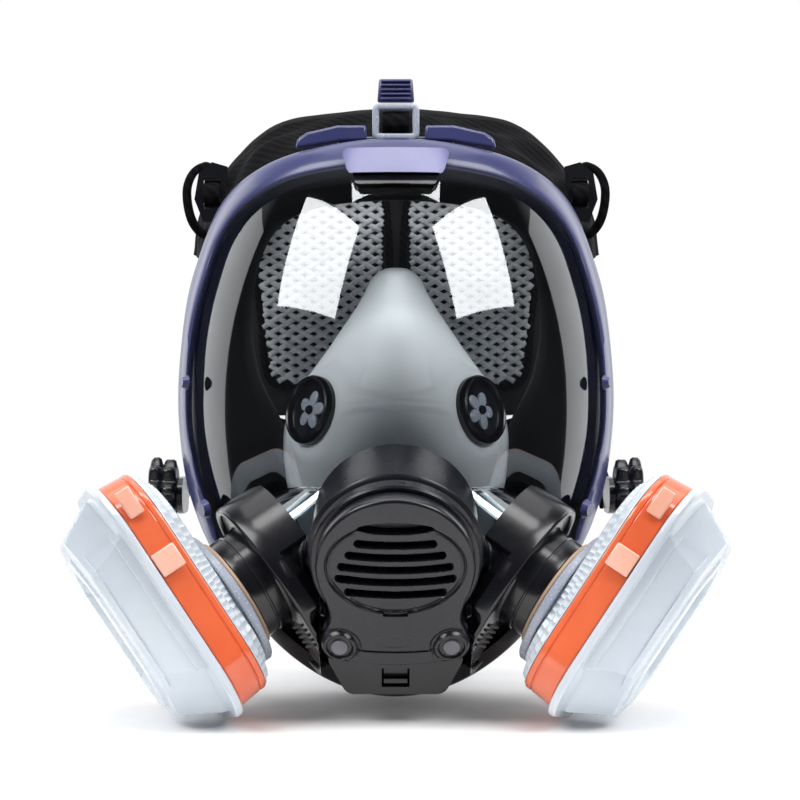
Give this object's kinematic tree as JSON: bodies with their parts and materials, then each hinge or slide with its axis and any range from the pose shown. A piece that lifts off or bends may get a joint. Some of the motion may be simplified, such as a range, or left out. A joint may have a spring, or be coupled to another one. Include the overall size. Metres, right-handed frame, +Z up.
{
  "type": "full-face respirator",
  "caption": "Full-face respirator with a wide clear lens, blue clamp frame, grey nose cup, slotted centre exhalation housing, angled twist-on filter cartridges and a strap harness.",
  "frame": {"origin": "middle of the face opening, on the upright axis that the lens curves round", "axes": "+X to the side the right-hand cartridge (seen from in front) is on, +Y towards the back of the wearer's head, +Z up; the front of the mask faces -Y"},
  "size_m": [0.279, 0.1847, 0.272],
  "materials": {
    "clear_lens": "clear polycarbonate",
    "blue_plastic": "satin blue-violet moulding",
    "black_plastic": "gloss black moulding",
    "black_rubber": "matt black silicone",
    "grey_silicone": "satin grey silicone",
    "white_plastic": "milky translucent moulding",
    "orange_plastic": "glossy translucent orange",
    "clear_grey_plastic": "translucent grey moulding",
    "tan_gasket": "tan gasket",
    "black_webbing": "black elastic webbing",
    "grey_mesh": "open grey mesh",
    "filter_felt": "white filter pad",
    "carbon": "packed carbon granules"
  },
  "bodies": {
    "facepiece": {"centre_adapter": "black_plastic", "centre_spigot": "black_plastic", "chin_bracket": "black_plastic", "chin_shell": "black_plastic", "cover_pins": "black_plastic", "crown_band": "black_webbing", "exhalation_cover": "black_plastic", "exhalation_valve_seat": "black_plastic", "face_seal": "black_rubber", "frame_lower": "black_plastic", "frame_screws": "blue_plastic", "frame_top_catch": "black_plastic", "frame_top_flap": "blue_plastic", "frame_upper": "blue_plastic", "head_pad": "black_webbing", "lens": "clear_lens", "lower_lug_left": "black_plastic", "lower_lug_right": "black_plastic", "lower_straps": "black_webbing", "mesh_panels": "grey_mesh", "nose_cup": "grey_silicone", "nose_valve_seat_left": "black_plastic", "nose_valve_seat_right": "black_plastic", "port_collar_left": "black_plastic", "port_collar_right": "black_plastic", "port_flange_left": "black_plastic", "port_flange_right": "black_plastic", "port_gasket_left": "tan_gasket", "port_gasket_right": "tan_gasket", "speech_diaphragm": "black_plastic", "top_buckle_base": "blue_plastic", "top_strap": "black_webbing", "upper_straps": "black_webbing"},
    "cartridge_left": {"cartridge_body_left": "white_plastic", "cartridge_ring_left": "clear_grey_plastic", "cartridge_band_left": "orange_plastic", "sorbent_bed_left": "carbon", "prefilter_left": "filter_felt"},
    "retainer_left": {"retainer_left": "white_plastic"},
    "nose_valve_left": {"nose_valve_flap_left": "black_rubber"},
    "inhalation_valve_left": {"inhalation_flap_left": "black_rubber"},
    "upper_buckle_left": {"upper_buckle_left": "black_plastic"},
    "lower_adjuster_left": {"lower_adjuster_left": "black_plastic"},
    "cartridge_right": {"cartridge_body_right": "white_plastic", "cartridge_ring_right": "clear_grey_plastic", "cartridge_band_right": "orange_plastic", "sorbent_bed_right": "carbon", "prefilter_right": "filter_felt"},
    "retainer_right": {"retainer_right": "white_plastic"},
    "nose_valve_right": {"nose_valve_flap_right": "black_rubber"},
    "inhalation_valve_right": {"inhalation_flap_right": "black_rubber"},
    "upper_buckle_right": {"upper_buckle_right": "black_plastic"},
    "lower_adjuster_right": {"lower_adjuster_right": "black_plastic"},
    "exhalation_valve": {"exhalation_flap": "black_rubber"},
    "chin_latch": {"chin_latch": "black_plastic"},
    "top_buckle": {"top_buckle_ring": "clear_grey_plastic", "top_buckle_tab": "blue_plastic"}
  },
  "joints": [
    {"name": "cartridge_twist_left", "type": "hinge", "parent": "facepiece", "child": "cartridge_left", "pos_m": [-0.06593, -0.08365, -0.08319], "axis": [-0.7966, -0.2824, -0.5345], "range_deg": [0, 60]},
    {"name": "retainer_pull_left", "type": "slide", "parent": "cartridge_left", "child": "retainer_left", "axis": [-0.7966, -0.2824, -0.5345], "range_m": [0, 0.025]},
    {"name": "nose_valve_lift_left", "type": "slide", "parent": "facepiece", "child": "nose_valve_left", "axis": [0.7592, 0.6194, -0.1998], "range_m": [0, 0.0015], "stiffness_N_per_m": 15},
    {"name": "inhalation_lift_left", "type": "slide", "parent": "facepiece", "child": "inhalation_valve_left", "axis": [0.7966, 0.2824, 0.5345], "range_m": [0, 0.0015], "stiffness_N_per_m": 15},
    {"name": "upper_buckle_tilt_left", "type": "hinge", "parent": "facepiece", "child": "upper_buckle_left", "pos_m": [-0.084, 0.004, 0.079], "axis": [1, 0, 0], "range_deg": [-15, 25]},
    {"name": "lower_adjuster_turn_left", "type": "hinge", "parent": "facepiece", "child": "lower_adjuster_left", "pos_m": [-0.101, -0.022, -0.047], "axis": [1, 0, 0], "range_deg": [-45, 45]},
    {"name": "cartridge_twist_right", "type": "hinge", "parent": "facepiece", "child": "cartridge_right", "pos_m": [0.06593, -0.08365, -0.08319], "axis": [-0.7966, 0.2824, 0.5345], "range_deg": [0, 60]},
    {"name": "retainer_pull_right", "type": "slide", "parent": "cartridge_right", "child": "retainer_right", "axis": [0.7966, -0.2824, -0.5345], "range_m": [0, 0.025]},
    {"name": "nose_valve_lift_right", "type": "slide", "parent": "facepiece", "child": "nose_valve_right", "axis": [-0.7592, 0.6194, -0.1998], "range_m": [0, 0.0015], "stiffness_N_per_m": 15},
    {"name": "inhalation_lift_right", "type": "slide", "parent": "facepiece", "child": "inhalation_valve_right", "axis": [-0.7966, 0.2824, 0.5345], "range_m": [0, 0.0015], "stiffness_N_per_m": 15},
    {"name": "upper_buckle_tilt_right", "type": "hinge", "parent": "facepiece", "child": "upper_buckle_right", "pos_m": [0.084, 0.004, 0.079], "axis": [1, 0, 0], "range_deg": [-15, 25]},
    {"name": "lower_adjuster_turn_right", "type": "hinge", "parent": "facepiece", "child": "lower_adjuster_right", "pos_m": [0.101, -0.022, -0.047], "axis": [1, 0, 0], "range_deg": [-45, 45]},
    {"name": "exhalation_lift", "type": "slide", "parent": "facepiece", "child": "exhalation_valve", "axis": [0, -0.9063, -0.4226], "range_m": [0, 0.002], "stiffness_N_per_m": 15},
    {"name": "chin_latch_press", "type": "hinge", "parent": "facepiece", "child": "chin_latch", "pos_m": [0, -0.09155, -0.1124], "axis": [1, 0, 0], "range_deg": [-12, 0], "stiffness_Nm_per_rad": 0.02},
    {"name": "top_buckle_tilt", "type": "hinge", "parent": "facepiece", "child": "top_buckle", "pos_m": [0, -0.052, 0.1085], "axis": [1, 0, 0], "range_deg": [-35, 12]}
  ]
}
